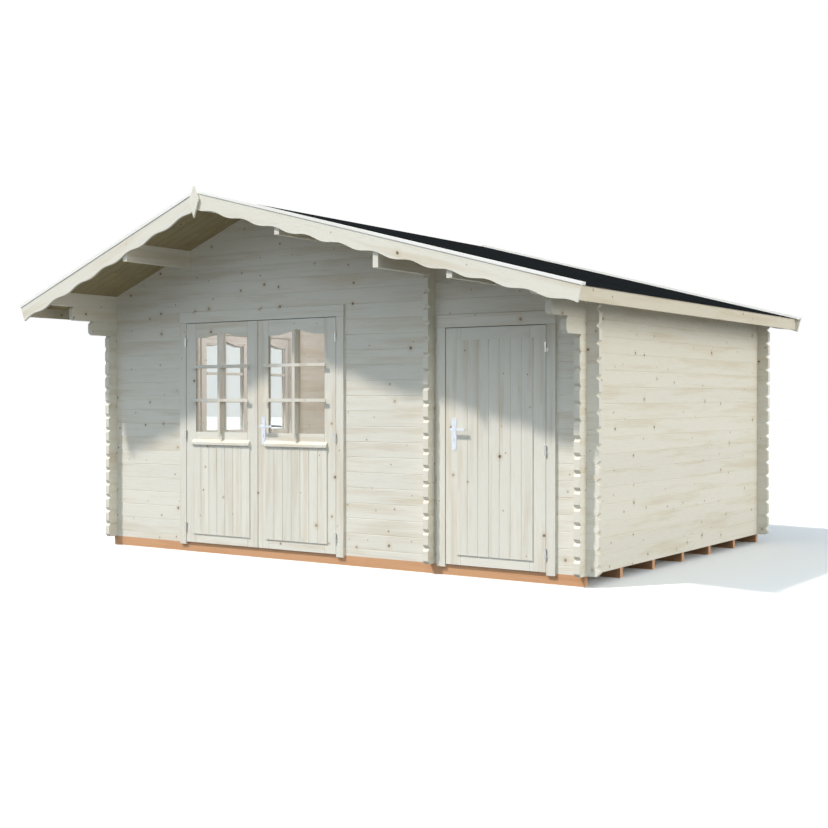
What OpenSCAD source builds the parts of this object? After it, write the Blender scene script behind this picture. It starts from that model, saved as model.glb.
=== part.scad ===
// Garden cabin of planed logs that interlock at the corners. A main room with an arched double door
// and a side window, and a store with its own door under the longer slope of an uneven gable roof.
// Millimetres, +Z up, front towards -Y, origin on the ground under the middle of the outline.

/* [Walls] */
// Distance between the centre planes of the left and right walls
span_x = 4474; // [4300:1:4800]
// Distance between the centre planes of the front and back walls
span_y = 3246; // [3000:1:3500]
// Distance from the right wall's centre plane to the partition's
store_w = 1197; // [1100:1:1320]
// Thickness of a log
log_t = 44; // [36:1:50]
// Height that one log adds to its wall
log_h = 114; // [112:1:118]
// How far log ends run past the face of the wall that they cross
log_end = 94; // [80:1:106]
// Chamfer on the corners of a log end
end_chamfer = 22; // [12:1:26]
// Depth of the V groove along each seam between logs
seam_v = 3; // [1:0.5:5]
// Play on each side of the notches where two walls interlock
notch_play = 0.3; // [0.2:0.05:0.6]
// Gap left where boards or fascias lie on wood below them
seat_gap = 0.2; // [0.1:0.05:0.5]
// Logs in the left wall, with its three corbel logs
left_rows = 18; // [18:1:18]
// Logs in the right wall, with its three corbel logs
right_rows = 17; // [17:1:17]
// Logs in the partition, below its purlin
partition_rows = 18; // [18:1:18]
// Step in length from one corbel log to the next
corbel_step = 205; // [190:1:215]

/* [Floor] */
// Height of a floor bearer
bearer_h = 73; // [60:1:85]
// Width of a floor bearer
bearer_w = 44; // [40:1:50]
// Number of floor bearers from front to back
bearer_count = 7; // [5:1:8]
// How far a bearer's end lies inside the outer face of the side wall
bearer_inset = 11; // [1:1:20]
// Thickness of the floor boards
floor_t = 19; // [16:1:26]
// Gap between the floor boards and the walls
floor_gap = 0.5; // [0.3:0.1:1]

/* [Roof] */
// Pitch of the short left slope, in degrees
left_pitch = 21.17; // [20:0.01:22.4]
// Height cut off the top log of each side wall under the roof
top_trim = 12; // [9:1:20]
// Overhang of the left eave past the outer face of the left wall
eave_left = 276; // [240:1:330]
// Overhang of the right eave past the outer face of the right wall
eave_right = 286; // [250:1:330]
// Overhang of the roof boards past the front wall's face
front_overhang = 690; // [660:1:720]
// Gap between the side walls' rear log ends and the rear barge boards
rear_gap = 3; // [1:1:60]
// Thickness of the roof boards
roof_board_t = 19; // [16:1:22]
// Thickness of the roofing felt
felt_t = 3; // [2:0.5:5]
// How far the felt runs past the eave fascia
felt_lip = 8; // [4:1:15]
// Height of a purlin under the roof boards
purlin_h = 135; // [120:1:150]
// Height of the ridge purlin under the roof boards
ridge_purlin_h = 98; // [80:1:104]
// Distance of the left and middle purlins from the ridge
purlin_off = 772; // [700:1:820]
// Distance of the right purlin from the partition
store_purlin_off = 589; // [520:1:650]
// Height of the eave fascia boards
fascia_h = 94; // [80:1:110]
// Thickness of fascia and barge boards
trim_t = 18; // [15:1:22]

/* [Barge boards] */
// Mean depth of a barge board below the felt, across the slope
barge_h = 112; // [100:1:125]
// Height of the wave on the lower edge above and below its mean
barge_wave = 9.5; // [4:0.5:12]
// Length of one wave
wave_pitch = 303; // [260:1:340]
// Distance from the ridge to the first narrow place of a barge board
wave_start = 208; // [150:1:260]
// How far the board's lower corner runs past the eave fascia
barge_past = 12; // [6:1:20]
// Thickness of the cap strip on top of the barge board
cap_t = 20; // [14:1:24]
// Width of the cap strip
cap_w = 50; // [44:1:60]
// Overhang of the cap strip past the face of the barge board
cap_lip = 5; // [3:1:8]
// How far a cap strip runs past the end of its barge board
cap_past = 3; // [1:1:30]
// Height of the kite-shaped board at the ridge
finial_h = 236; // [200:1:260]
// Width of the kite-shaped board
finial_w = 96; // [70:1:110]
// Height of the kite's tip above the cap strips
finial_rise = 29; // [15:1:60]

/* [Doors] */
// Width of the main doorway between its casings
main_open_w = 1558; // [1500:1:1600]
// Height of the main doorway above the bearers
main_open_h = 1792; // [1770:1:1800]
// Width of the store doorway between its casings
store_open_w = 813; // [780:1:830]
// Height of the store doorway above the bearers
store_open_h = 1676; // [1660:1:1690]
// Distance from the partition's centre plane to the middle of the store doorway
store_door_off = 524; // [515:1:535]
// Width of a door or window casing
casing_w = 68; // [60:1:72]
// Height of the casing over a doorway
head_casing_h = 88; // [76:1:92]
// Thickness of the outer casing
casing_t = 20; // [16:1:20]
// Thickness of the lining between casing and logs
lining_t = 30; // [24:1:34]
// Width of the stop that a closed leaf meets
stop_w = 14; // [10:1:16]
// How far a door casing reaches down over the front bearer
casing_drop = 15; // [5:1:30]
// Height of the threshold above the bearers
threshold_h = 30; // [24:1:36]
// Thickness of a door leaf or window sash
leaf_t = 40; // [36:1:42]
// Distance of a leaf's face behind the face of its casing
leaf_setback = 2; // [1:0.5:4]
// Gap round a leaf
leaf_gap = 5; // [5:0.5:6]
// Gap at a leaf's free edge
free_gap = 8; // [7:0.5:9]
// Width of a main door leaf's stiles
stile_w = 106; // [95:1:112]
// Width of the store door leaf's stiles
store_stile_w = 122; // [115:1:126]

/* [Glazing and panels] */
// Height of the bottom of the glass above the bearers
glass_z = 907; // [895:1:920]
// Height of the rail above the arch's peak
top_rail = 78; // [70:1:90]
// Rise of the arch above its shoulders
arch_rise = 41; // [30:1:50]
// Flat length of each shoulder of the arch
shoulder = 95; // [70:1:110]
// Thickness of the glass
glass_t = 4; // [3:0.5:6]
// Depth of the rebate that holds the glass, round its edge
rebate = 10; // [6:1:14]
// Height of the rail under a boarded panel
panel_foot = 77; // [60:1:90]
// Boards in one panel
panel_boards = 7; // [6:1:8]
// Lap of a panel over the stiles on each side
panel_lap = 26; // [20:1:32]
// How far a panel stands in front of its leaf
panel_proud = 8; // [6:1:10]
// Depth of the grooves between panel boards
panel_groove = 4; // [2:0.5:6]
// Height of the drip moulding's lower edge above the bearers
drip_z = 801; // [790:1:810]
// Height of the drip moulding
drip_h = 46; // [36:1:50]
// How far the drip moulding runs past the panel on each side
drip_past = 2.5; // [0:0.5:3]
// How far the drip moulding stands in front of its leaf
drip_t = 24; // [18:1:26]
// Height of the rail over the store door's panel
store_top_rail = 85; // [76:1:100]

/* [Fittings] */
// Diameter of a hinge barrel
hinge_d = 14; // [12:1:14]
// Diameter of a hinge pin
hinge_pin_d = 8; // [6:0.5:9]
// Radial play of the pin in its barrel
pin_play = 0.05; // [0.03:0.01:0.08]
// Length of one hinge barrel
barrel_l = 35; // [30:1:42]
// Width of a hinge strap beside its barrel
strap_w = 8; // [6:1:14]
// Distance from a leaf's bottom to its lower hinge
hinge_low = 125; // [110:1:150]
// Distance from a leaf's top to its upper hinge
hinge_top = 150; // [130:1:170]
// Distance from the right main leaf's free edge to the lever's spindle
backset = 55; // [50:1:60]
// Distance from the store leaf's free edge to the lever's spindle
store_backset = 70; // [60:1:76]
// Height of the lever above the bearers
lever_z = 959; // [945:1:972]
// Length of the lever's arm from its spindle
lever_l = 115; // [100:1:120]
// Height of the lock plate
plate_h = 229; // [215:1:240]
// Width of the lock plate
plate_w = 40; // [36:1:44]
// Thickness of the lock plate
plate_t = 3; // [2:0.5:4]
// Distance of the lever's arm from the plate
lever_out = 34; // [30:1:40]

/* [Side window] */
// Distance from the front wall's centre plane to the middle of the window
window_y = 1662; // [1600:1:1720]
// Width of the window opening between its casings
window_open_w = 1231; // [1200:1:1250]
// Height of the window opening's sill above the bearers
window_sill = 816; // [800:1:830]
// Height of the window opening between its casings
window_open_h = 976; // [950:1:1000]
// Width of the stiles of a window sash
sash_stile = 58; // [52:1:62]
// Height of the bottom rail of a window sash
sash_foot = 60; // [52:1:70]

/* [Hidden] */

$fn = 32;
partition_x = span_x - store_w;
half_t = log_t / 2;
pale_wood = [0.88, 0.86, 0.79];
shaded_wood = [0.80, 0.77, 0.68];
green_wood = [0.80, 0.60, 0.42];
metal = [0.75, 0.77, 0.80];
glass_tint = [0.55, 0.60, 0.65, 0.4];
felt_grey = [0.16, 0.17, 0.19];

// Roof planes. "under" is the top of the logs and purlins, and "roof_z" lies d above the underside of the
// roof boards, square to the slope.
ridge_x = partition_x / 2;
left_under = bearer_h + left_rows * log_h - top_trim;
right_under = bearer_h + right_rows * log_h - top_trim;
ridge_under = left_under + ridge_x * tan(left_pitch);
right_pitch = atan((ridge_under - right_under) / (span_x - ridge_x));
function pitch_at(x) = x < ridge_x ? left_pitch : right_pitch;
function under(x) = ridge_under - abs(x - ridge_x) * tan(pitch_at(x));
function roof_z(x, d) = under(x) + seat_gap + d / cos(pitch_at(x));
above_all = ridge_under + 500;

// Outer limits of the roof in plan
fascia_left = -half_t - eave_left;
fascia_right = span_x + half_t + eave_right;
roof_front = -half_t - front_overhang;
roof_back = span_y + half_t + log_end + rear_gap;
felt_foot = roof_board_t + seat_gap;
covering = felt_foot + felt_t;

// Door planes, measured along Y
wall_face = -half_t;
casing_face = wall_face - casing_t;
leaf_face = casing_face + leaf_setback;
leaf_back = leaf_face + leaf_t;
stop_face = leaf_back + leaf_gap;
inner_casing_t = 16;
inner_casing_w = 50;
glass_front = leaf_face + 18;

// Doorways
main_door_x = ridge_x;
store_door_x = partition_x + store_door_off;
main_head = bearer_h + main_open_h;
store_head = bearer_h + store_open_h;
main_leaf_w = (main_open_w - 2 * leaf_gap - free_gap) / 2;
store_leaf_w = store_open_w - leaf_gap - free_gap;
leaf_foot = bearer_h + leaf_gap;
window_foot = bearer_h + window_sill;
window_head = window_foot + window_open_h;
sash_w = (window_open_w - 2 * leaf_gap - free_gap) / 2;
split_z = bearer_h + 14.5 * log_h;

// Hinge axes lie in the middle of the gap beside the leaf, just in front of the casing
hinge_r = hinge_d / 2;
hinge_y = casing_face - hinge_r - 1;
left_hinge_x = main_door_x - main_open_w / 2 + leaf_gap / 2;
right_hinge_x = main_door_x + main_open_w / 2 - leaf_gap / 2;
store_hinge_x = store_door_x + store_open_w / 2 - leaf_gap / 2;

// Outline of the roof trim, which sets the overall box
function slope_x(side) = side < 0 ? fascia_left : fascia_right;
function slope_a(side) = side < 0 ? left_pitch : right_pitch;
function barge_len(side) =
    (abs(slope_x(side) - ridge_x) + barge_past + barge_h * sin(slope_a(side))) / cos(slope_a(side));
function cap_len(side) = barge_len(side) + cap_past;
function ridge_z(side, d) = ridge_under + seat_gap + d / cos(slope_a(side));
// Point s down the slope from the ridge and d above the felt, square to the slope
function slope_pt(side, s, d) = [
    ridge_x + side * (s * cos(slope_a(side)) + d * sin(slope_a(side))),
    ridge_z(side, covering) - s * sin(slope_a(side)) + d * cos(slope_a(side))
];
cap_front = roof_front - trim_t - cap_lip;
finial_t = 14;
box_left = slope_pt(-1, cap_len(-1), cap_t)[0];
box_right = slope_pt(1, cap_len(1), cap_t)[0];
box_front = cap_front - finial_t;
box_back = roof_back + trim_t + cap_lip;

// ---------- helpers ----------

module in_place() {
    translate([-(box_left + box_right) / 2, -(box_front + box_back) / 2, 0]) children();
}

// An outline in X and Z, made solid from y0 to y1
module slab_xz(y0, y1) {
    translate([0, y1, 0]) rotate([90, 0, 0]) linear_extrude(y1 - y0) children();
}

// An outline in Y and Z, made solid from x0 to x1
module slab_yz(x0, x1) {
    translate([x0, 0, 0]) rotate([90, 0, 90]) linear_extrude(x1 - x0) children();
}

module block(x0, x1, y0, y1, z0, z1) {
    translate([x0, y0, z0]) cube([x1 - x0, y1 - y0, z1 - z0]);
}

module rect(x0, x1, z0, z1) {
    translate([x0, z0]) square([x1 - x0, z1 - z0]);
}

// ---------- log walls ----------

// Side view of one log from a to b along its wall, with chamfered ends
module log_side(a, b, z0, z1) {
    c = end_chamfer;
    polygon([
        [a + c, z0], [b - c, z0], [b, z0 + c], [b, z1 - c],
        [b - c, z1], [a + c, z1], [a, z1 - c], [a, z0 + c]
    ]);
}

// Cross-section of a stack of logs: V grooves at the seams, and a top cut to two heights
module stack_section(seams, z0, top_a, top_b) {
    groove = [for (z = seams) for (p = [[half_t, z - seam_v], [half_t - seam_v, z], [half_t, z + seam_v]]) p];
    last = len(groove) - 1;
    polygon(concat(
        [[-half_t, z0], [half_t, z0]],
        groove,
        [[half_t, top_b], [-half_t, top_a]],
        [for (i = [0:last]) [-groove[last - i][0], groove[last - i][1]]]
    ));
}

// Side view of a wall that runs from front to back: rows of whole logs, the last of them corbels,
// with holes for the necks of the front and back walls' logs
module long_wall_side(rows, corbels, necks) {
    difference() {
        for (k = [0:rows - 1]) {
            step = max(0, k - (rows - 1 - corbels));
            reach = step == 0 ? log_end : front_overhang - (corbels - step) * corbel_step;
            log_side(-half_t - reach, span_y + half_t + log_end, bearer_h + k * log_h,
                     bearer_h + (k + 1) * log_h);
        }
        for (y = [0, span_y]) for (k = [0:necks]) {
            rect(y - half_t - notch_play, y + half_t + notch_play,
                 bearer_h + (k - 0.25) * log_h - notch_play, bearer_h + (k + 0.25) * log_h + notch_play);
        }
    }
}

// A wall that runs from front to back at x, with its top cut to the roof or level
module long_wall(x, rows, corbels, necks, top_a, top_b) {
    seams = [for (k = [1:rows - 1]) bearer_h + k * log_h];
    intersection() {
        slab_yz(x - log_t, x + log_t) long_wall_side(rows, corbels, necks);
        translate([x, 0, 0]) slab_xz(-front_overhang - log_t, span_y + log_t + log_end + 10)
            stack_section(seams, bearer_h, top_a, top_b);
    }
}

// Slot in a gable for the necks of a crossing wall with its rows of logs
module crossing_slots(x, rows, open_top) {
    for (k = [0:rows - 1]) {
        top = open_top && k == rows - 1 ? above_all : bearer_h + (k + 0.75) * log_h + notch_play;
        rect(x - half_t - notch_play, x + half_t + notch_play,
             bearer_h + (k + 0.25) * log_h - notch_play, top);
    }
}

function purlin_bottom(x) = under(x) - (x == ridge_x ? ridge_purlin_h : purlin_h);
partition_top = bearer_h + partition_rows * log_h;
purlin_xs = [ridge_x - purlin_off, ridge_x, ridge_x + purlin_off, partition_x + store_purlin_off];

module purlin_slots() {
    for (x = purlin_xs) {
        rect(x - half_t - notch_play, x + half_t + notch_play, purlin_bottom(x) - notch_play, above_all);
    }
    rect(partition_x - half_t - notch_play, partition_x + half_t + notch_play,
         partition_top - notch_play, above_all);
}

module under_roof() {
    a = fascia_left;
    b = fascia_right;
    polygon([[a, 0], [b, 0], [b, under(b)], [ridge_x, ridge_under], [a, under(a)]]);
}

gable_rows = ceil((ridge_under - bearer_h) / log_h - 0.5);
gable_seams = [for (k = [0:gable_rows]) bearer_h + (k + 0.5) * log_h];

// Side view of a gable wall: the first log is half high, so that its seams fall between the side walls'
module gable_side() {
    difference() {
        intersection() {
            union() {
                log_side(-half_t - log_end, span_x + half_t + log_end, bearer_h, gable_seams[0]);
                for (k = [1:len(gable_seams) - 1]) {
                    log_side(-half_t - log_end, span_x + half_t + log_end, gable_seams[k - 1],
                             gable_seams[k]);
                }
            }
            under_roof();
        }
        crossing_slots(0, left_rows, true);
        crossing_slots(partition_x, partition_rows, false);
        crossing_slots(span_x, right_rows, true);
        purlin_slots();
    }
}

module gable_section(y) {
    translate([0, y, 0]) slab_yz(-log_end - log_t, span_x + log_end + log_t)
        stack_section(gable_seams, bearer_h, above_all, above_all);
}

module door_cut(x, open_w, head) {
    rect(x - open_w / 2 - lining_t, x + open_w / 2 + lining_t, bearer_h - 1, head + lining_t);
}

// Part of the front wall between two edges and two heights, with both doorways cut
module front_wall_part(x0, x1, z0, z1) {
    color(pale_wood) in_place() intersection() {
        slab_xz(-log_t, log_t) intersection() {
            difference() {
                gable_side();
                door_cut(main_door_x, main_open_w, main_head);
                door_cut(store_door_x, store_open_w, store_head);
            }
            rect(x0, x1, z0, z1);
        }
        gable_section(0);
    }
}

module front_wall_left() {
    front_wall_part(-log_end - log_t, main_door_x, 0, split_z);
}

module front_wall_middle() {
    front_wall_part(main_door_x, store_door_x, 0, split_z);
}

module front_wall_right() {
    front_wall_part(store_door_x, span_x + log_end + log_t, 0, split_z);
}

module front_gable() {
    front_wall_part(-log_end - log_t, span_x + log_end + log_t, split_z, above_all);
}

module back_wall() {
    color(pale_wood) in_place() intersection() {
        slab_xz(span_y - log_t, span_y + log_t) gable_side();
        gable_section(span_y);
    }
}

module left_wall() {
    w = window_open_w / 2 + lining_t;
    color(pale_wood) in_place() difference() {
        long_wall(0, left_rows, 3, left_rows - 1, under(-half_t), under(half_t));
        block(-log_t, log_t, window_y - w, window_y + w, window_foot - lining_t,
              window_head + lining_t);
    }
}

module right_wall() {
    color(pale_wood) in_place()
        long_wall(span_x, right_rows, 3, right_rows - 1, under(span_x - half_t), under(span_x + half_t));
}

module partition_wall() {
    color(pale_wood) in_place()
        long_wall(partition_x, partition_rows, 0, partition_rows, partition_top, partition_top);
}

// ---------- floor ----------

module bearers() {
    step = span_y / (bearer_count - 1);
    color(green_wood) in_place() for (i = [0:bearer_count - 1]) {
        block(-half_t + bearer_inset, span_x + half_t - bearer_inset, i * step - bearer_w / 2,
              i * step + bearer_w / 2, 0, bearer_h);
    }
}

module floor_boards() {
    y0 = half_t + floor_gap;
    y1 = span_y - half_t - floor_gap;
    color(shaded_wood) in_place() {
        block(half_t + floor_gap, partition_x - half_t - floor_gap, y0, y1, bearer_h, bearer_h + floor_t);
        block(partition_x + half_t + floor_gap, span_x - half_t - floor_gap, y0, y1, bearer_h,
              bearer_h + floor_t);
    }
}

// ---------- door and window frames ----------

// Ring round an opening: w wide beside it, top high over it and inset inside it; open at a door's foot
module frame_ring(open_w, foot, head, w, top, inset, sill) {
    difference() {
        rect(-open_w / 2 - w, open_w / 2 + w, foot - (sill ? w : 0), head + top);
        rect(-open_w / 2 + inset, open_w / 2 - inset, foot - (sill ? -inset : 1), head - inset);
    }
}

// Casings, lining and stop, which hold the cut ends of the logs between them
module opening_frame(open_w, foot, head, drop, sill) {
    back = half_t + inner_casing_t;
    inner_foot = foot + (sill ? 0 : floor_t);
    slab_xz(casing_face, wall_face) frame_ring(open_w, foot - drop, head, casing_w, head_casing_h, 0, sill);
    slab_xz(wall_face, half_t) frame_ring(open_w, foot, head, lining_t, lining_t, 0, sill);
    slab_xz(stop_face, half_t) frame_ring(open_w, foot, head, 0, 0, stop_w, sill);
    slab_xz(half_t, back) frame_ring(open_w, inner_foot, head, inner_casing_w, inner_casing_w, stop_w, sill);
}

module door_frame(x, open_w, head) {
    back = half_t + inner_casing_t;
    translate([x, 0, 0]) {
        opening_frame(open_w, bearer_h, head, casing_drop, false);
        block(-open_w / 2, open_w / 2, stop_face, half_t, bearer_h, bearer_h + threshold_h);
        block(-open_w / 2, open_w / 2, half_t, back, bearer_h + floor_t, bearer_h + threshold_h);
    }
}

module main_door_frame() {
    color(pale_wood) in_place() door_frame(main_door_x, main_open_w, main_head);
}

module store_door_frame() {
    color(pale_wood) in_place() door_frame(store_door_x, store_open_w, store_head);
}

module on_left_wall() {
    translate([0, window_y, 0]) rotate([0, 0, -90]) children();
}

module window_frame() {
    color(pale_wood) in_place() on_left_wall()
        opening_frame(window_open_w, window_foot, window_head, 0, true);
}

// ---------- leaves ----------

// Arched outline of the glass in X and Z, from z0 to the arch's peak at z1, grown by m all round
module arch_outline(w, z0, z1, m) {
    h = w / 2 + m;
    zs = z1 - arch_rise + m;
    polygon([
        [-h, z0 - m], [h, z0 - m], [h, zs], [h - shoulder, zs],
        [0, z1 + m], [-h + shoulder, zs], [-h, zs]
    ]);
}

// Framed leaf with an arched light that is rebated for its glass from behind
module arched_leaf(w, stile, z0, z1, glass_z0) {
    glass_w = w - 2 * stile;
    peak = z1 - top_rail;
    difference() {
        block(-w / 2, w / 2, leaf_face, leaf_back, z0, z1);
        slab_xz(leaf_face - 1, leaf_back + 1) arch_outline(glass_w, glass_z0, peak, 0);
        slab_xz(glass_front, leaf_back + 1) arch_outline(glass_w, glass_z0, peak, rebate);
    }
}

module arched_glass(w, stile, z1, glass_z0) {
    slab_xz(glass_front, glass_front + glass_t)
        arch_outline(w - 2 * stile, glass_z0, z1 - top_rail, rebate - notch_play);
}

main_leaf_top = main_head - leaf_gap;
main_glass_z = bearer_h + glass_z;
sash_z0 = window_foot + leaf_gap;
sash_z1 = window_head - leaf_gap;

module panel_hole(w, stile, z0, z1) {
    slab_xz(leaf_face - 1, leaf_back + 1) rect(-w / 2 + stile, w / 2 - stile, z0, z1);
}

// Boarded panel: boards that lap over the stiles in front, with a core that fills the frame
module boarded_panel(w, stile, z0, z1) {
    half_w = w / 2 - stile;
    face = leaf_face - panel_proud;
    board = 2 * (half_w + panel_lap) / panel_boards;
    difference() {
        union() {
            block(-half_w - panel_lap, half_w + panel_lap, face, leaf_face, z0, z1);
            block(-half_w + notch_play, half_w - notch_play, leaf_face, leaf_back - 12,
                  z0 + panel_lap + notch_play, z1 - panel_lap - notch_play);
        }
        for (i = [1:panel_boards - 1]) {
            x = -half_w - panel_lap + i * board;
            translate([0, 0, z0 - 1]) linear_extrude(z1 - z0 + 2)
                polygon([[x - panel_groove, face - 0.01], [x + panel_groove, face - 0.01],
                         [x, face + panel_groove]]);
        }
    }
}

module drip_moulding(w, stile) {
    half_w = w / 2 - stile + panel_lap + drip_past;
    z = bearer_h + drip_z;
    slab_yz(-half_w, half_w) polygon([
        [leaf_face, z], [leaf_face - drip_t + 4, z], [leaf_face - drip_t, z + 4],
        [leaf_face - drip_t, z + drip_h / 2], [leaf_face, z + drip_h]
    ]);
}

panel_z0 = bearer_h + panel_foot;
panel_z1 = bearer_h + drip_z;

module main_leaf() {
    difference() {
        arched_leaf(main_leaf_w, stile_w, leaf_foot, main_leaf_top, main_glass_z);
        panel_hole(main_leaf_w, stile_w, panel_z0 + panel_lap, panel_z1 - panel_lap);
    }
    drip_moulding(main_leaf_w, stile_w);
}

module on_left_leaf() {
    translate([main_door_x - (main_leaf_w + free_gap) / 2, 0, 0]) children();
}

module on_right_leaf() {
    translate([main_door_x + (main_leaf_w + free_gap) / 2, 0, 0]) children();
}

module on_store_leaf() {
    translate([store_hinge_x - leaf_gap / 2 - store_leaf_w / 2, 0, 0]) children();
}

// Hole through the stile for the lever's spindle
module spindle_hole(w, off) {
    translate([-w / 2 + off, 0, bearer_h + lever_z]) rotate([90, 0, 0])
        cylinder(d = 20, h = 4 * leaf_t, center = true);
}

module left_leaf() {
    color(pale_wood) in_place() on_left_leaf() main_leaf();
}

module right_leaf() {
    color(pale_wood) in_place() on_right_leaf() difference() {
        main_leaf();
        spindle_hole(main_leaf_w, backset);
    }
}

module left_leaf_panel() {
    color(pale_wood) in_place() on_left_leaf() boarded_panel(main_leaf_w, stile_w, panel_z0, panel_z1);
}

module right_leaf_panel() {
    color(pale_wood) in_place() on_right_leaf() boarded_panel(main_leaf_w, stile_w, panel_z0, panel_z1);
}

module left_leaf_glass() {
    color(glass_tint) in_place() on_left_leaf()
        arched_glass(main_leaf_w, stile_w, main_leaf_top, main_glass_z);
}

module right_leaf_glass() {
    color(glass_tint) in_place() on_right_leaf()
        arched_glass(main_leaf_w, stile_w, main_leaf_top, main_glass_z);
}

store_panel_z1 = store_head - leaf_gap - store_top_rail;

module store_leaf() {
    w = store_leaf_w;
    color(pale_wood) in_place() on_store_leaf() difference() {
        block(-w / 2, w / 2, leaf_face, leaf_back, leaf_foot, store_head - leaf_gap);
        panel_hole(w, store_stile_w, panel_z0 + panel_lap, store_panel_z1 - panel_lap);
        spindle_hole(w, store_backset);
    }
}

module store_leaf_panel() {
    color(pale_wood) in_place() on_store_leaf()
        boarded_panel(store_leaf_w, store_stile_w, panel_z0, store_panel_z1);
}

module window_sashes() {
    color(pale_wood) in_place() on_left_wall() for (side = [-1, 1]) {
        translate([side * (sash_w + free_gap) / 2, 0, 0])
            arched_leaf(sash_w, sash_stile, sash_z0, sash_z1, sash_z0 + sash_foot);
    }
}

module window_glass() {
    color(glass_tint) in_place() on_left_wall() for (side = [-1, 1]) {
        translate([side * (sash_w + free_gap) / 2, 0, 0])
            arched_glass(sash_w, sash_stile, sash_z1, sash_z0 + sash_foot);
    }
}

// ---------- hinges, plates and levers ----------

function hinge_zs(head) = [
    leaf_foot + hinge_low,
    (leaf_foot + hinge_low + head - leaf_gap - hinge_top) / 2,
    head - leaf_gap - hinge_top
];

// Lower barrel with its pin, strapped to the casing; side is the casing's side of the axis
module frame_hinge(x, z, side) {
    translate([x, hinge_y, z]) {
        translate([0, 0, -barrel_l]) cylinder(r = hinge_r, h = barrel_l);
        cylinder(d = hinge_pin_d, h = barrel_l - 4);
        strap(side, casing_face - hinge_y, -barrel_l);
    }
}

// Upper barrel, bored for the pin and strapped to the leaf
module leaf_hinge(x, z, side) {
    translate([x, hinge_y, z + notch_play]) difference() {
        union() {
            cylinder(r = hinge_r, h = barrel_l);
            strap(side, leaf_face - hinge_y, 0);
        }
        translate([0, 0, -1]) cylinder(d = hinge_pin_d + 2 * pin_play, h = barrel_l - 2);
    }
}

// Flat strap from the barrel's axis to the wood, whose face lies y behind the axis
module strap(side, y, z0) {
    w = hinge_r + strap_w;
    block(min(0, side * w), max(0, side * w), y - 4, y, z0 + 4, z0 + barrel_l - 4);
}

module leaf_hinges(x, head, side) {
    color(metal) in_place() for (z = hinge_zs(head)) leaf_hinge(x, z, side);
}

module frame_hinges() {
    color(metal) in_place() {
        for (z = hinge_zs(main_head)) {
            frame_hinge(left_hinge_x, z, -1);
            frame_hinge(right_hinge_x, z, 1);
        }
        for (z = hinge_zs(store_head)) frame_hinge(store_hinge_x, z, 1);
    }
}

module left_leaf_hinges() {
    leaf_hinges(left_hinge_x, main_head, 1);
}

module right_leaf_hinges() {
    leaf_hinges(right_hinge_x, main_head, -1);
}

module store_leaf_hinges() {
    leaf_hinges(store_hinge_x, store_head, -1);
}

module window_hinges() {
    x = window_open_w / 2 - leaf_gap / 2;
    color(metal) in_place() on_left_wall() for (side = [-1, 1]) {
        for (z = [sash_z0 + hinge_low, sash_z1 - hinge_top]) {
            frame_hinge(side * x, z, side);
            leaf_hinge(side * x, z, -side);
        }
    }
}

// Plate with round ends, a bore for the lever's neck and a keyhole, drawn with the spindle at 0, 0
lever_up = 80;
neck_d = 18;
spindle_d = 9;

module plate_outline() {
    r = plate_w / 2;
    difference() {
        union() {
            rect(-r, r, -plate_h + lever_up + r, lever_up - r);
            translate([0, lever_up - r]) circle(r = r);
            translate([0, -plate_h + lever_up + r]) circle(r = r);
        }
        circle(d = neck_d + 2 * pin_play);
        translate([0, -70]) circle(d = 9);
        rect(-2.5, 2.5, -86, -70);
    }
}

module lock_plates(w, off) {
    translate([-w / 2 + off, 0, bearer_h + lever_z]) {
        slab_xz(leaf_face - plate_t, leaf_face) plate_outline();
        slab_xz(leaf_back, leaf_back + plate_t) plate_outline();
    }
}

// Lever arm pointing to +X at y0 to y1, with a round tip
module lever_arm(y0, y1) {
    slab_xz(y0, y1) {
        circle(d = neck_d);
        rect(0, lever_l - 7, -7, 7);
        translate([lever_l - 7, 0]) circle(r = 7);
    }
}

module lever_set(w, off) {
    front = leaf_face - plate_t - lever_out;
    back = leaf_back + plate_t + lever_out;
    translate([-w / 2 + off, 0, bearer_h + lever_z]) {
        lever_arm(front - 12, front);
        lever_arm(back, back + 12);
        slab_xz(front, leaf_face) circle(d = neck_d);
        slab_xz(leaf_back, back) circle(d = neck_d);
        slab_xz(front, back) circle(d = spindle_d);
    }
}

module main_lock_plates() {
    color(metal) in_place() on_right_leaf() lock_plates(main_leaf_w, backset);
}

module main_lever() {
    color(metal) in_place() on_right_leaf() lever_set(main_leaf_w, backset);
}

module store_lock_plates() {
    color(metal) in_place() on_store_leaf() lock_plates(store_leaf_w, store_backset);
}

module store_lever() {
    color(metal) in_place() on_store_leaf() lever_set(store_leaf_w, store_backset);
}

// ---------- roof ----------

module purlins() {
    color(pale_wood) in_place() slab_xz(roof_front, roof_back) intersection() {
        union() {
            for (x = purlin_xs) rect(x - half_t, x + half_t, purlin_bottom(x), above_all);
            rect(partition_x - half_t, partition_x + half_t, partition_top, above_all);
        }
        under_roof();
    }
}

// Layer of the roof from d0 to d1 above the boards' underside, between the ridge and x
module roof_layer(side, x, d0, d1) {
    slab_xz(roof_front, roof_back) polygon([
        [ridge_x, ridge_z(side, d0)], [x, roof_z(x, d0)], [x, roof_z(x, d1)], [ridge_x, ridge_z(side, d1)]
    ]);
}

module roof_boards_left() {
    color(shaded_wood) in_place() roof_layer(-1, fascia_left + trim_t, 0, roof_board_t);
}

module roof_boards_right() {
    color(shaded_wood) in_place() roof_layer(1, fascia_right - trim_t, 0, roof_board_t);
}

module roof_felt_left() {
    color(felt_grey) in_place() roof_layer(-1, fascia_left - felt_lip, felt_foot, covering);
}

module roof_felt_right() {
    color(felt_grey) in_place() roof_layer(1, fascia_right + felt_lip, felt_foot, covering);
}

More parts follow.
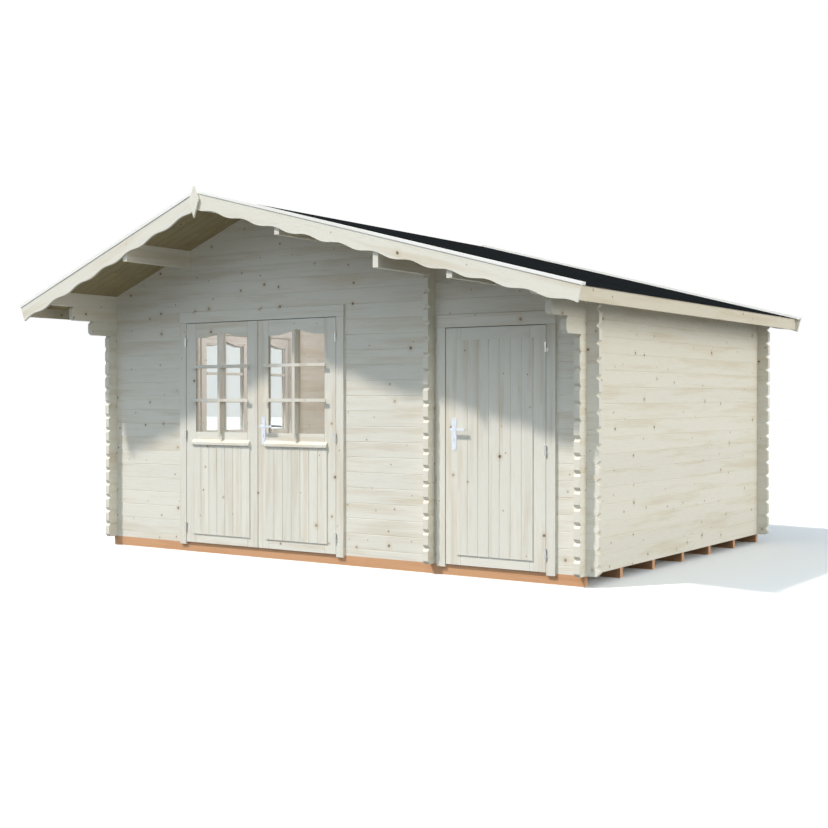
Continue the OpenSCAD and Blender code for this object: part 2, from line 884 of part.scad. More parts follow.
module fascia_section(x0, x1) {
    top0 = roof_z(x0, roof_board_t) - seat_gap;
    top1 = roof_z(x1, roof_board_t) - seat_gap;
    low = min(top0, top1) - fascia_h;
    polygon([[x0, low], [x1, low], [x1, top1], [x0, top0]]);
}

module eave_fascias() {
    color(shaded_wood) in_place() slab_xz(roof_front, roof_back) {
        fascia_section(fascia_left, fascia_left + trim_t);
        fascia_section(fascia_right - trim_t, fascia_right);
    }
}

// Barge board outline with a wave along its lower edge
module barge_outline(side) {
    l = barge_len(side);
    a = slope_a(side);
    steps = floor((l - 2 * barge_h * tan(a)) / (wave_pitch / 10));
    function edge(s) = slope_pt(side, s, -barge_h + barge_wave * cos(360 * (s - wave_start) / wave_pitch));
    top = slope_pt(side, 0, 0);
    polygon(concat(
        [top, slope_pt(side, l, 0)],
        [for (i = [0:steps]) edge(l - i * wave_pitch / 10)],
        [[ridge_x, top[1] - barge_h / cos(a)]]
    ));
}

module cap_outline(side) {
    l = cap_len(side);
    low = ridge_z(side, covering + seat_gap);
    high = ridge_z(side, covering + cap_t);
    polygon([[ridge_x, low], slope_pt(side, l, seat_gap), slope_pt(side, l, cap_t), [ridge_x, high]]);
}

module front_barge(side) {
    color(pale_wood) in_place() slab_xz(roof_front - trim_t, roof_front) barge_outline(side);
}

module rear_barge(side) {
    color(pale_wood) in_place() slab_xz(roof_back, roof_back + trim_t) barge_outline(side);
}

module front_barge_left() {
    front_barge(-1);
}

module front_barge_right() {
    front_barge(1);
}

module rear_barge_left() {
    rear_barge(-1);
}

module rear_barge_right() {
    rear_barge(1);
}

module barge_caps() {
    color(pale_wood) in_place() for (y = [cap_front, box_back - cap_w]) {
        translate([-0.2, 0, 0]) slab_xz(y, y + cap_w) cap_outline(-1);
        translate([0.2, 0, 0]) slab_xz(y, y + cap_w) cap_outline(1);
    }
}

module ridge_finial() {
    tip = roof_z(ridge_x, covering + cap_t) + finial_rise;
    wide = tip - finial_h * 0.42;
    color(pale_wood) in_place() slab_xz(cap_front - finial_t, cap_front) polygon([
        [ridge_x, tip], [ridge_x - finial_w / 2, wide], [ridge_x, tip - finial_h],
        [ridge_x + finial_w / 2, wide]
    ]);
}

bearers();
floor_boards();
left_wall();
right_wall();
back_wall();
partition_wall();
front_wall_left();
front_wall_middle();
front_wall_right();
front_gable();
main_door_frame();
store_door_frame();
frame_hinges();
left_leaf();
left_leaf_panel();
left_leaf_glass();
left_leaf_hinges();
right_leaf();
right_leaf_panel();
right_leaf_glass();
right_leaf_hinges();
main_lock_plates();
main_lever();
store_leaf();
store_leaf_panel();
store_leaf_hinges();
store_lock_plates();
store_lever();
window_frame();
window_sashes();
window_glass();
window_hinges();
purlins();
roof_boards_left();
roof_boards_right();
roof_felt_left();
roof_felt_right();
front_barge_left();
front_barge_right();
rear_barge_left();
rear_barge_right();
barge_caps();
eave_fascias();
ridge_finial();
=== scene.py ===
# Looks of the garden cabin, in metres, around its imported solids: pale planed wood, felt, glass and zinc,
# with the glazing bars and screws that the solids leave out.

import math

import bmesh
import bpy
from mathutils import Matrix, Vector

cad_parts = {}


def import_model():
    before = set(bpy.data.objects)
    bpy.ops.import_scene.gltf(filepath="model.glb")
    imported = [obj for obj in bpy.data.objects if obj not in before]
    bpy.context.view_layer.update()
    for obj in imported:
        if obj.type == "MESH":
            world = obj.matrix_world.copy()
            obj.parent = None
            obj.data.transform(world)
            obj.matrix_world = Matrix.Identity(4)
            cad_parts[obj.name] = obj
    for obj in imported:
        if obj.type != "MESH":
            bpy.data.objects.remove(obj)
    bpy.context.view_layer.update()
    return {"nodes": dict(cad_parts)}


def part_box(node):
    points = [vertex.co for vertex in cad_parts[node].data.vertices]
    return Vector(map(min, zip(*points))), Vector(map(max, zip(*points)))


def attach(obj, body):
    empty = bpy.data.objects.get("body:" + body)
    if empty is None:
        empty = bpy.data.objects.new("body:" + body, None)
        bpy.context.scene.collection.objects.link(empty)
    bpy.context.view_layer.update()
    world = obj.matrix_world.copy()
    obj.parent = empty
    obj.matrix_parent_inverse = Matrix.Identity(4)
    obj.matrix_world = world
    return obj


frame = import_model()

X, Y, Z = 0, 1, 2

# ---------- sizes read from the solids ----------


def middle(node):
    lo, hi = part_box(node)
    return (lo + hi) / 2


# Rows of logs in the partition, which has whole logs only
PARTITION_ROWS = 18
partition_lo, partition_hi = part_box("partition_wall")
LOG_H = (partition_hi.z - partition_lo.z) / PARTITION_ROWS
# Top of the floor bearers, where the walls start
BASE_Z = partition_lo.z

# How far a pane runs under its frame on each side
REBATE = 0.0097
# How far the store leaf's panel runs under its stiles
PANEL_GROOVE = 0.026
# Boards in each door panel
PANEL_BOARDS = 7
# From the top of a leaf or a sash to the frame above it
LEAF_GAP = 0.005
# Height of a sash's top rail beside its arch
SASH_RAIL = 0.09
# Width of the boards of the floor and of the roof
BOARD_W = 0.087

FELT_T = 0.003
FELT_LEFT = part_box("roof_felt_left")
FELT_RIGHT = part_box("roof_felt_right")
RIDGE_X = FELT_LEFT[1].x


def slope_of(box):
    """Tangent of the pitch of a felt, which has the thickness FELT_T, from its box."""
    lo, hi = box
    tangent = (hi.z - lo.z) / (hi.x - lo.x)
    for _ in range(4):
        tangent = (hi.z - lo.z - FELT_T * math.hypot(1, tangent)) / (hi.x - lo.x)
    return tangent


TAN_LEFT = slope_of(FELT_LEFT)
TAN_RIGHT = slope_of(FELT_RIGHT)

# ---------- colours ----------


def srgb(r, g, b):
    def line(c):
        c /= 255
        return c / 12.92 if c <= 0.04045 else ((c + 0.055) / 1.055) ** 2.4
    return (line(r), line(g), line(b), 1.0)


# Wood: its ground, its streaks and its late wood
PLANED = (srgb(234, 231, 220), srgb(219, 209, 189), srgb(190, 174, 144))
# The side logs' tones are the planed wood made warmer: painted warm light on the side walls
SIDE_WARM_LIT = (srgb(235, 231, 217), srgb(222, 211, 186), srgb(193, 176, 142))
BARGE = (srgb(229, 226, 214), srgb(215, 205, 184), srgb(190, 174, 144))
CAP = (srgb(248, 247, 243), srgb(242, 239, 231), srgb(222, 213, 195))
# The fascias' tones are the planed wood darkened and warmed: painted warm shade at the eaves
FASCIA_PAINTED_SHADE = (srgb(216, 208, 188), srgb(203, 190, 162), srgb(174, 155, 118))
# The soffit's tones are planed spruce darkened and browned well below the other wood: painted shade under the
# roof
SOFFIT_PAINTED_SHADE = (srgb(151, 138, 99), srgb(134, 119, 82), srgb(108, 92, 60))
FLOORING = (srgb(224, 210, 178), srgb(208, 188, 148), srgb(184, 158, 114))
BEARER = (srgb(214, 164, 122), srgb(200, 146, 102), srgb(160, 106, 70))

KNOT_HALO = srgb(203, 178, 138)
KNOT_BLACK = srgb(60, 51, 46)
KNOT_BROWN = srgb(146, 124, 102)
KNOT_HEART = srgb(130, 108, 88)
END_PALE = srgb(238, 235, 224)
END_RINGS = srgb(221, 211, 191)

FELT_DARK = srgb(17, 19, 20)
FELT_GRIT = srgb(42, 45, 47)
ZINC_DULL = srgb(190, 196, 205)
ZINC_BRIGHT = srgb(214, 219, 226)
STEEL_DULL = srgb(176, 178, 178)
STEEL_BRIGHT = srgb(198, 199, 198)
GLASS_HAZE = srgb(232, 238, 238)
GLASS_CLEAR = srgb(246, 248, 247)

# ---------- node trees ----------


class Sig:
    """A number in a node tree, with arithmetic."""

    def __init__(self, tree, socket):
        self.tree, self.socket = tree, socket

    def __add__(self, other):
        return self.tree.math("ADD", self, other)

    def __sub__(self, other):
        return self.tree.math("SUBTRACT", self, other)

    def __mul__(self, other):
        return self.tree.math("MULTIPLY", self, other)

    def __truediv__(self, other):
        return self.tree.math("DIVIDE", self, other)

    __rmul__ = __mul__

    def __rsub__(self, other):
        return self.tree.math("SUBTRACT", other, self)

    def do(self, op):
        return self.tree.math(op, self)


class Tree:
    """The nodes of a material or a world, with short calls for the ones used here."""

    def __init__(self, owner):
        owner.use_nodes = True
        self.owner = owner
        self.nodes = owner.node_tree.nodes
        self.links = owner.node_tree.links
        self.nodes.clear()

    def put(self, socket, value):
        if isinstance(value, Sig):
            value = value.socket
        if isinstance(value, bpy.types.NodeSocket):
            self.links.new(value, socket)
        else:
            socket.default_value = value

    def node(self, kind, inputs, **settings):
        n = self.nodes.new("ShaderNode" + kind)
        for key, value in settings.items():
            setattr(n, key, value)
        for key, value in inputs.items():
            self.put(n.inputs[key], value)
        return n

    def math(self, op, *args):
        return Sig(self, self.node("Math", dict(enumerate(args)), operation=op).outputs[0])

    def split(self, socket):
        return [Sig(self, o) for o in self.node("SeparateXYZ", {0: socket}).outputs]

    def vector(self, x, y, z):
        return self.node("CombineXYZ", {0: x, 1: y, 2: z}).outputs[0]

    def step(self, x, lo, hi):
        """0 below lo and 1 above hi, smooth between; falls instead where lo is above hi."""
        ends = (hi, lo, 1.0, 0.0) if lo > hi else (lo, hi, 0.0, 1.0)
        n = self.node("MapRange", dict(enumerate((x, *ends))), interpolation_type="SMOOTHSTEP")
        return Sig(self, n.outputs[0])

    def noise(self, vec, detail=3.0, rough=0.55, scale=1.0):
        n = self.node("TexNoise", {"Vector": vec, "Scale": scale, "Detail": detail, "Roughness": rough})
        return Sig(self, n.outputs["Fac"])

    def random(self, x, seed):
        """A number from 0 to 1 that depends on x and the seed alone."""
        n = self.node("TexWhiteNoise", {"Vector": self.vector(x, seed, 0.0)}, noise_dimensions="3D")
        return Sig(self, n.outputs["Value"])

    def mix(self, fac, a, b, blend="MIX"):
        return self.node("Mix", {0: fac, 6: a, 7: b}, data_type="RGBA", blend_type=blend).outputs[2]

    def shade(self, colour, factor):
        """colour made darker or lighter by a factor."""
        grey = self.node("CombineColor", {0: factor, 1: factor, 2: factor}).outputs[0]
        return self.mix(1.0, colour, grey, "MULTIPLY")

    def seen(self):
        """1 for the rays that carry what the camera sees, also by way of metal or glass."""
        rays = self.node("LightPath", {}).outputs
        direct = self.math("MAXIMUM", rays["Is Camera Ray"], rays["Is Glossy Ray"])
        return self.math("MAXIMUM", direct, rays["Is Transmission Ray"])

    def close(self, shader, output="OutputMaterial"):
        """Ends the tree with a shader node, and gives the material or world."""
        self.node(output, {0: shader.outputs[0]})
        return self.owner


class Surface(Tree):
    """A material, with the place p and the normal n of each point in the object's own axes."""

    def __init__(self, name):
        super().__init__(bpy.data.materials.new(name))
        coord = self.node("TexCoord", {}).outputs
        self.p = self.split(coord["Object"])
        self.n = self.split(coord["Normal"])

    def here(self):
        return self.vector(*self.p)

    def finish(self, colour, rough, bump=None, height=0.0, metal=0.0, shine=0.5):
        """A principled surface, with a bump of the given height in metres."""
        bsdf = self.node("BsdfPrincipled", {"Base Color": colour, "Roughness": rough, "Metallic": metal,
                                            "Specular IOR Level": shine})
        if bump is not None:
            n = self.node("Bump", {"Height": bump, "Distance": height, "Strength": 1.0})
            self.links.new(n.outputs[0], bsdf.inputs["Normal"])
        return self.close(bsdf)


# ---------- wood ----------

# A square of this side has one knot at most. Its radius is a share of the side, from the smallest up.
KNOT_CELL = 0.18
KNOT_SMALLEST = 0.018
KNOT_GROWTH = 0.050
# Radians of the year rings for each metre, across a face and around the heart at a sawn end
FACE_RINGS = 620
END_GRAIN_RINGS = 1700
# From a log's middle plane to the heart of the tree that it was sawn from
HEART_AWAY = 0.04
# Waves in each metre along the grain and across it: of the rings' course, the fibres and the streaks
RING_COURSE = (1.3, 7)
FIBRES = (9, 300)
STREAKS = (1.1, 13)
# Half widths at the joint between two directions of grain in a frame: of the soft turn from one to the
# other, and of the joint's dark middle and its soft edge
TURN = 0.0003
JOINT_MIDDLE = 0.0005
JOINT_EDGE = 0.0016


def knot_marks(t, u, v, share):
    """Knots in a share of the squares: their core, its halo, their colour and how well that covers."""
    cells = t.node("TexVoronoi", {"Vector": t.vector(u / KNOT_CELL, v / KNOT_CELL, 0.0), "Scale": 1.0},
                   voronoi_dimensions="2D", feature="F1").outputs
    chance, size, pale = [Sig(t, o) for o in t.node("SeparateColor", {0: cells["Color"]}).outputs]
    there = t.step(chance, 1.0 - share, 1.0 - share + 0.001)
    ratio = Sig(t, cells["Distance"]) / (size * size * KNOT_GROWTH + KNOT_SMALLEST)
    core = t.step(ratio, 1.25, 0.75) * there
    halo = t.step(ratio, 4.0, 1.0) * there
    colour = t.mix(pale, KNOT_BLACK, KNOT_BROWN)
    colour = t.mix(t.step(ratio, 0.7, 0.2) * 0.3, colour, KNOT_HEART)
    return core, halo, colour, 1 - pale * 0.4


def grained(t, u, v, w, row, seed, tones=PLANED, knots=0.5, row_shade=0.05):
    """Colour, roughness and bump of planed softwood: u runs along the grain, v across it in the face
    and w into it. row numbers the board, and each board differs by up to row_shade."""
    light, mid, dark = tones
    shift = t.random(row, seed)
    core, halo, knot, cover = knot_marks(t, u, v, knots)

    def stretched(waves, away):
        return t.vector(u * waves[0] + shift * away, v * waves[1], w * waves[1])

    course = t.noise(stretched(RING_COURSE, 31), detail=2.0)
    rings = ((v + halo * 0.010 + course * 0.05) * FACE_RINGS + shift * 40).do("SINE") * 0.5 + 0.5
    fibre = t.noise(stretched(FIBRES, 17), rough=0.65)
    streak = t.step(t.noise(stretched(STREAKS, 53)), 0.46, 0.72)
    colour = t.mix(rings * 0.22 + streak * 0.6, light, mid)
    colour = t.mix(t.step(fibre, 0.52, 0.80) * 0.40 + streak * rings * 0.22, colour, dark)
    colour = t.mix(halo * 0.30, colour, KNOT_HALO)
    colour = t.mix(core * cover, colour, knot)
    colour = t.shade(colour, shift * row_shade + (1 - row_shade * 0.6))
    return colour, fibre * 0.12 + 0.50, fibre * 0.5 + rings * 0.3 - core * 0.8


def end_grain(t, across, into, row, seed):
    """Colour of the sawn end of a log, with rings around a heart outside it."""
    turn = t.random(row, seed + 3.7)
    side = across - (turn - 0.5) * 0.05
    deep = into + HEART_AWAY
    rings = ((side * side + deep * deep).do("SQRT") * END_GRAIN_RINGS).do("SINE")
    return t.shade(t.mix(rings * 0.22 + 0.4, END_PALE, END_RINGS), turn * 0.05 + 0.95)


def wood_rows(name, along, across, into, pitch, start, seed, seam=0.0, slant=None, ends=False, **look):
    """Wood in rows of logs or boards, counted across from start. seam is half the width of a dark joint
    between rows, slant bends the rows, and ends gives end grain to faces that look along the grain."""
    t = Surface(name)
    u, v, w = t.p[along], t.p[across], t.p[into]
    if slant:
        v = slant(t, v)
    count = (v - start) / pitch
    row = count.do("FLOOR")
    local = (count - row - 0.5) * pitch
    colour, rough, bump = grained(t, u, v, w, row, seed, **look)
    if ends:
        end = t.step(t.n[along].do("ABSOLUTE"), 0.6, 0.8)
        colour = t.mix(end, colour, end_grain(t, local, w, row, seed))
    if seam:
        edge = t.step((local.do("ABSOLUTE") - pitch / 2).do("ABSOLUTE"), seam, seam * 0.3)
        colour = t.shade(colour, 1 - edge * 0.55)
        bump = bump - edge * 3
    return t.finish(colour, rough, bump, 0.0006)


def wood_frame(name, wide, centre, seed, half=0.0, rails=None, **look):
    """Joinery with upright stiles beyond half from centre along the axis wide and level rails between
    them, or with one level rail above the height rails."""
    t = Surface(name)
    side = t.p[wide] - centre
    other = t.p[X + Y - wide]
    beyond = side.do("ABSOLUTE") - half if rails is None else rails - t.p[Z]
    level = t.step(beyond, TURN, -TURN)
    upright = 1 - level
    u = t.p[Z] * upright + t.p[wide] * level
    v = t.p[wide] * upright + t.p[Z] * level
    row = level * 2 + side.do("SIGN") * upright + (t.p[Z] * 1.1).do("FLOOR") * level * 3
    colour, rough, bump = grained(t, u, v, other, row, seed, **look)
    joint = t.step(beyond.do("ABSOLUTE"), JOINT_EDGE, JOINT_MIDDLE)
    return t.finish(t.shade(colour, 1 - joint * 0.45), rough, bump, 0.0005)


def over_roof(t, v):
    """Height v measured from the roof's slope, so that the grain follows the slope."""
    off = t.p[X] - RIDGE_X
    left = t.math("MINIMUM", off, 0.0) * -TAN_LEFT
    right = t.math("MAXIMUM", off, 0.0) * TAN_RIGHT
    return v + left + right


def dress(mat, *nodes):
    for name in nodes:
        slots = frame["nodes"][name].data.materials
        if not len(slots):
            slots.append(mat)
        for i in range(len(slots)):
            slots[i] = mat


def dress_walls():
    """The front and back walls lie half a log higher than the side walls and the partition."""
    dress(wood_rows("gable_logs", X, Z, Y, LOG_H, BASE_Z + LOG_H / 2, seed=1.0, ends=True),
          "front_wall_left", "front_wall_middle", "front_wall_right", "front_gable", "back_wall")
    # The side walls, the partition and the purlins take the warmer tones of painted warm light
    dress(wood_rows("side_logs", Y, Z, X, LOG_H, BASE_Z, seed=2.0, ends=True, tones=SIDE_WARM_LIT),
          "left_wall", "right_wall", "partition_wall", "purlins")


def dress_leaves():
    for seed, leaf in ((11.0, "left_leaf"), (12.0, "right_leaf")):
        lo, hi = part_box(leaf + "_glass")
        dress(wood_frame(leaf + "_wood", X, middle(leaf).x, seed, half=(hi.x - lo.x) / 2 - REBATE,
                         knots=0.35), leaf)
    lo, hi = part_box("store_leaf_panel")
    dress(wood_frame("store_leaf_wood", X, middle("store_leaf").x, 13.0,
                     half=(hi.x - lo.x) / 2 - PANEL_GROOVE, knots=0.35), "store_leaf")
    for seed, leaf in ((21.0, "left_leaf"), (22.0, "right_leaf"), (23.0, "store_leaf")):
        panel = leaf + "_panel"
        lo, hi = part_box(panel)
        dress(wood_rows(panel + "_wood", Z, X, Y, (hi.x - lo.x) / PANEL_BOARDS, lo.x, seed, knots=0.45,
                        row_shade=0.07), panel)


def dress_frames():
    for seed, name, axis, inside in ((31.0, "main_door_frame", X, "left_leaf"),
                                     (32.0, "store_door_frame", X, "store_leaf"),
                                     (33.0, "window_frame", Y, "window_sashes")):
        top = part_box(inside)[1].z + LEAF_GAP
        dress(wood_frame(name + "_wood", axis, middle(name)[axis], seed, rails=top, knots=0.4), name)
    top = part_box("window_sashes")[1].z - SASH_RAIL
    dress(wood_frame("sash_wood", Y, middle("window_sashes").y, 34.0, rails=top, knots=0.3), "window_sashes")


def one_board(name, along, across, into, seed, pitch=0.9, start=-1.0, **look):
    """Wood of whole boards, which lie within one row."""
    return wood_rows(name, along, across, into, pitch, start, seed, **look)


def dress_roof():
    dress(one_board("barge_wood", X, Z, Y, seed=41.0, pitch=0.6, slant=over_roof, knots=0.4, tones=BARGE),
          "front_barge_left", "front_barge_right", "rear_barge_left", "rear_barge_right")
    dress(one_board("cap_wood", X, Z, Y, seed=42.0, slant=over_roof, knots=0.1, tones=CAP), "barge_caps")
    # The fascias take the darkened tones of painted warm shade
    dress(one_board("fascia_wood", Y, Z, X, seed=43.0, knots=0.7, tones=FASCIA_PAINTED_SHADE), "eave_fascias")
    dress(one_board("finial_wood", Z, X, Y, seed=44.0, knots=0.0), "ridge_finial")
    # The roof boards' undersides take the darkened tones of painted shade, with dark joints between boards
    dress(wood_rows("soffit_wood", X, Y, Z, BOARD_W, 0.0, seed=45.0, seam=0.003, tones=SOFFIT_PAINTED_SHADE),
          "roof_boards_left", "roof_boards_right")


def dress_base():
    dress(wood_rows("floor_wood", Y, X, Z, BOARD_W, 0.0, seed=46.0, seam=0.002, tones=FLOORING),
          "floor_boards")
    dress(one_board("bearer_wood", X, Z, Y, seed=47.0, pitch=0.3, start=-0.05, knots=0.35, tones=BEARER),
          "bearers")


dress_walls()
dress_leaves()
dress_frames()
dress_roof()
dress_base()

# ---------- felt, metal and glass ----------

# Width of a sheet of felt that shows, and the share of one that lies over the ridge
FELT_SHEET = 0.86
FELT_OVER_RIDGE = 0.35


def felt():
    """Gritty felt in sheets that lie along the ridge and lap over one another."""
    t = Surface("felt_grit")
    grit = t.noise(t.here(), detail=2.0, rough=0.7, scale=900.0)
    patch = t.noise(t.here(), scale=2.2)
    sheets = (t.p[X] - RIDGE_X).do("ABSOLUTE") / FELT_SHEET + FELT_OVER_RIDGE
    down = sheets.do("FRACT")
    tone = t.random(sheets.do("FLOOR"), 5.0)
    edge = t.step(down, 0.985, 0.995)
    colour = t.mix(t.step(grit, 0.38, 0.70), FELT_DARK, FELT_GRIT)
    colour = t.shade(colour, patch * 0.4 + tone * 0.12 + 0.70 - edge * 0.3)
    return t.finish(colour, grit * 0.1 + 0.88, grit - down * 1.5, 0.0012, shine=0.0)


def metal(name, dull, bright):
    """Cloudy metal, brushed along the vertical."""
    t = Surface(name)
    cloud = t.noise(t.here(), scale=60.0)
    brush = t.noise(t.vector(t.p[X] * 900, t.p[Y] * 900, t.p[Z] * 40), detail=1.0)
    return t.finish(t.mix(cloud, dull, bright), cloud * 0.12 + brush * 0.08 + 0.24, brush, 0.00005, metal=1.0)


def pane():
    """Clear glass that lets daylight and shadow through as if it were thin."""
    t = Surface("clear_pane")
    haze = t.noise(t.vector(t.p[X] + t.p[Y], 0.0, t.p[Z]), detail=2.0, scale=3.0)
    glass = t.node("BsdfPrincipled", {"Base Color": t.mix(haze, GLASS_HAZE, GLASS_CLEAR), "Roughness": 0.0,
                                      "IOR": 1.45, "Transmission Weight": 1.0})
    clear = t.node("BsdfTransparent", {"Color": (0.94, 0.95, 0.95, 1)})
    rays = t.node("LightPath", {}).outputs
    through = t.math("MAXIMUM", rays["Is Shadow Ray"], rays["Is Diffuse Ray"])
    return t.close(t.node("MixShader", {0: through, 1: glass.outputs[0], 2: clear.outputs[0]}))


ZINC = metal("zinc_plate", ZINC_DULL, ZINC_BRIGHT)
STEEL = metal("hinge_steel", STEEL_DULL, STEEL_BRIGHT)
dress(felt(), "roof_felt_left", "roof_felt_right")
dress(STEEL, "frame_hinges", "left_leaf_hinges", "right_leaf_hinges", "store_leaf_hinges", "window_hinges")
dress(ZINC, "main_lock_plates", "main_lever", "store_lock_plates", "store_lever")
dress(pane(), "left_leaf_glass", "right_leaf_glass", "window_glass")

# ---------- added pieces ----------

# Clearance that keeps added pieces off the solids' faces
FREE = 0.0003


def piece(name, build, mat, body, bevel=0.0):
    """A mesh made by build(bm), with edges rounded by bevel, that rides on a body."""
    mesh = bpy.data.meshes.new(name)
    bm = bmesh.new()
    build(bm)
    bm.normal_update()
    if bevel:
        edges = [e for e in bm.edges if len(e.link_faces) == 2 and e.calc_face_angle() > 0.5]
        bmesh.ops.bevel(bm, geom=edges, offset=bevel, segments=2, profile=0.5, affect="EDGES",
                        clamp_overlap=True)
    bm.to_mesh(mesh)
    bm.free()
    mesh.materials.append(mat)
    obj = bpy.data.objects.new(name, mesh)
    bpy.context.scene.collection.objects.link(obj)
    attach(obj, body)


def bar(bm, a0, a1, b0, b1, near, far, place):
    """A box from near to far; place turns (a, b, depth) into a point."""
    outline = ((a0, b0), (a1, b0), (a1, b1), (a0, b1))
    rings = [[bm.verts.new(place(a, b, depth)) for a, b in outline] for depth in (near, far)]
    bm.faces.new(rings[0][::-1])
    bm.faces.new(rings[1])
    for i in range(4):
        k = (i + 1) % 4
        bm.faces.new((rings[0][i], rings[0][k], rings[1][k], rings[1][i]))


# ---------- glazing bars ----------

BAR_W = 0.024
# How far the outer bars stand proud of the frame, and lap over it beside and below the pane
BAR_PROUD = 0.009
BAR_LAP = 0.030
BAR_FOOT_LAP = 0.040
# Gap between the two sashes
SASH_GAP = 0.008
# Heights of the middles of the level bars
DOOR_BARS = (BASE_Z + 1.164, BASE_Z + 1.434)
WINDOW_BARS = (BASE_Z + 1.152, BASE_Z + 1.412)


def bar_wood():
    t = Surface("bar_wood")
    colour, rough, bump = grained(t, t.p[Z], t.p[X], t.p[Y], 0.0, 51.0, knots=0.05)
    return t.finish(colour, rough, bump, 0.0004)


def glazing_bars(name, glass_box, frame_box, levels, wide, body, mat):
    """Bars on both sides of a pane that lies along the axis wide: the outer ones lap over the frame."""
    lo, hi = glass_box
    frame_lo, frame_hi = frame_box
    deep = X + Y - wide
    centre = (lo[wide] + hi[wide]) / 2
    half_w = (hi[wide] - lo[wide]) / 2 - REBATE
    foot = lo.z + REBATE
    peak = hi.z - REBATE - FREE
    front = frame_lo[deep] - BAR_PROUD
    face = frame_lo[deep] - FREE
    before_glass = lo[deep] - FREE
    behind_glass = hi[deep] + FREE
    half = BAR_W / 2

    def place(a, b, depth):
        return (centre + a, depth, b) if wide == X else (depth, centre - a, b)

    def cross(bm, reach, near, far):
        for level in levels:
            for side in (-1, 1):
                a0, a1 = sorted((side * half, side * (half_w + reach)))
                bar(bm, a0, a1, level - half, level + half, near, far, place)

    def outer(bm):
        bar(bm, -half, half, foot - BAR_FOOT_LAP, foot, front, face, place)
        bar(bm, -half, half, foot, peak, front, before_glass, place)
        cross(bm, BAR_LAP, front, face)
        cross(bm, -FREE, face, before_glass)

    def inner(bm):
        bar(bm, -half, half, foot + FREE, peak, behind_glass, frame_hi[deep], place)
        cross(bm, -FREE, behind_glass, frame_hi[deep])

    piece(name + "_outer_bars", outer, mat, body)
    piece(name + "_inner_bars", inner, mat, body)


def sash_half(node, side):
    """The box of one window sash's half of a node; side is -1 for the sash nearer the front."""
    lo, hi = [corner.copy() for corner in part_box(node)]
    sash_lo, sash_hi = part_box("window_sashes")
    rim = lo.y - sash_lo.y
    if side < 0:
        hi.y = (sash_lo.y + sash_hi.y - SASH_GAP) / 2 - rim
    else:
        lo.y = (sash_lo.y + sash_hi.y + SASH_GAP) / 2 + rim
    return lo, hi


def all_bars():
    wood = bar_wood()
    for leaf in ("left_leaf", "right_leaf"):
        glazing_bars(leaf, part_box(leaf + "_glass"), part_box(leaf), DOOR_BARS, X, leaf, wood)
    for side, name in ((-1, "near_sash"), (1, "far_sash")):
        glazing_bars(name, sash_half("window_glass", side), sash_half("window_sashes", side), WINDOW_BARS, Y,
                     "cabin", wood)


all_bars()

# ---------- screws ----------

SCREW_R = 0.0035
SCREW_PROUD = 0.0010
# From a plate's end to the middle of its screw
SCREW_IN = 0.011
SCREW_EDGE = 0.0003


def screws(name, plates, body):
    """A screw head near each end of each of a pair of lock plates."""
    lo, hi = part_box(plates)
    away = SCREW_PROUD / 2 + FREE

    def build(bm):
        for z in (lo.z + SCREW_IN, hi.z - SCREW_IN):
            for y in (lo.y - away, hi.y + away):
                place = Matrix.Translation(((lo.x + hi.x) / 2, y, z)) @ Matrix.Rotation(math.pi / 2, 4, "X")
                bmesh.ops.create_cone(bm, cap_ends=True, segments=20, radius1=SCREW_R, radius2=SCREW_R,
                                      depth=SCREW_PROUD, matrix=place)

    piece(name, build, STEEL, body, bevel=SCREW_EDGE)


screws("main_lock_screws", "main_lock_plates", "right_leaf")
screws("store_lock_screws", "store_lock_plates", "store_leaf")

# ---------- stage, light and camera ----------

FLOOR_HALF = 60.0
# The floor lies this far under the cabin, so that their faces don't coincide
FLOOR_DROP = 0.0005
FLOOR_GREY = srgb(88, 92, 96)
FLOOR_WHITE = (srgb(250, 250, 249), srgb(253, 253, 252))
SKY_COLOUR = srgb(205, 229, 252)
SKY_STRENGTH = 0.42
ROOM_LAMP_WATTS = 66.0
ROOM_LAMP_R = 0.25
ROOM_LAMP_OVER_DOORS = 0.35
# The camera's distances from the left wall, the front wall and the tops of the bearers, in metres, its
# angles in degrees and its lens in millimetres
CAMERA_RIGHT = 8.3779
CAMERA_BEFORE = 7.6516
CAMERA_UP = 1.168
CAMERA_DIP = 0.640
CAMERA_TURN = 34.598
CAMERA_LENS = 55.89


def show(name, data):
    obj = bpy.data.objects.new(name, data)
    bpy.context.scene.collection.objects.link(obj)
    return obj


def floor():
    """A floor that looks white, and throws back as much light as a grey one."""
    t = Surface("pale_floor")
    patch = t.noise(t.vector(t.p[X], t.p[Y], 0.0), detail=2.0, scale=0.6)
    white = t.mix(patch, *FLOOR_WHITE)
    mesh = bpy.data.meshes.new("pale_floor")
    s = FLOOR_HALF
    mesh.from_pydata([(-s, -s, 0), (s, -s, 0), (s, s, 0), (-s, s, 0)], [], [(0, 1, 2, 3)])
    mesh.materials.append(t.finish(t.mix(t.seen(), FLOOR_GREY, white), 0.9))
    obj = show("pale_floor", mesh)
    obj.location.z = -FLOOR_DROP


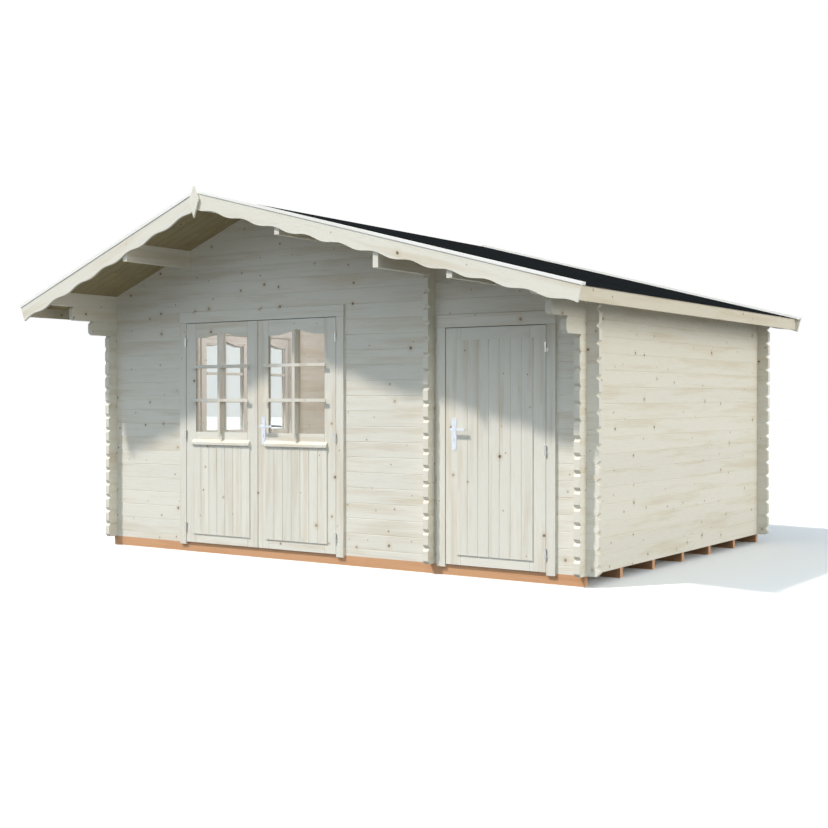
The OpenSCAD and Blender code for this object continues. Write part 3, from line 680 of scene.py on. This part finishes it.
def world():
    """A weak pale sky, which looks plain white."""
    t = Tree(bpy.data.worlds.new("studio"))
    soft = t.node("Background", {"Color": SKY_COLOUR, "Strength": SKY_STRENGTH})
    white = t.node("Background", {"Color": (1, 1, 1, 1), "Strength": 1.0})
    both = t.node("MixShader", {0: t.seen(), 1: soft.outputs[0], 2: white.outputs[0]})
    bpy.context.scene.world = t.close(both, "OutputWorld")


def sun(name, direction, strength, angle, colour):
    lamp = bpy.data.lights.new(name, "SUN")
    lamp.energy = strength
    lamp.angle = math.radians(angle)
    lamp.color = colour
    show(name, lamp).rotation_euler = Vector(direction).to_track_quat("-Z", "Y").to_euler()


def room_lamp():
    """A soft lamp under the ridge of the main room, which shows the room behind the panes."""
    lamp = bpy.data.lights.new("room", "POINT")
    lamp.energy = ROOM_LAMP_WATTS
    lamp.shadow_soft_size = ROOM_LAMP_R
    lamp.color = (0.83, 0.83, 1.0)
    wall = middle("partition_wall")
    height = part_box("left_leaf")[1].z + ROOM_LAMP_OVER_DOORS
    show("room", lamp).location = ((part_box("left_wall")[1].x + wall.x) / 2, wall.y, height)


def camera():
    """Stands before the right end of the front wall and looks to the left along it, almost level."""
    cam = bpy.data.cameras.new("photo_view")
    cam.lens = CAMERA_LENS
    cam.sensor_width = 36.0
    cam.clip_end = 200.0
    obj = show("photo_view", cam)
    obj.location = (middle("left_wall").x + CAMERA_RIGHT, middle("front_gable").y - CAMERA_BEFORE,
                    BASE_Z + CAMERA_UP)
    obj.rotation_euler = (math.radians(90 - CAMERA_DIP), 0.0, math.radians(CAMERA_TURN))
    bpy.context.scene.camera = obj


floor()
world()
sun("key", (0.346, 0.497, -0.796), 2.95, 3.0, (1.0, 0.94, 0.88))
sun("sky", (0.10, 0.62, -0.77), 1.25, 90.0, (0.90, 0.98, 1.0))
sun("fill", (-0.94, -0.12, -0.25), 2.15, 50.0, (1.0, 0.955, 0.865))
room_lamp()
camera()
bpy.context.scene.view_settings.view_transform = "Standard"

bpy.context.view_layer.update()
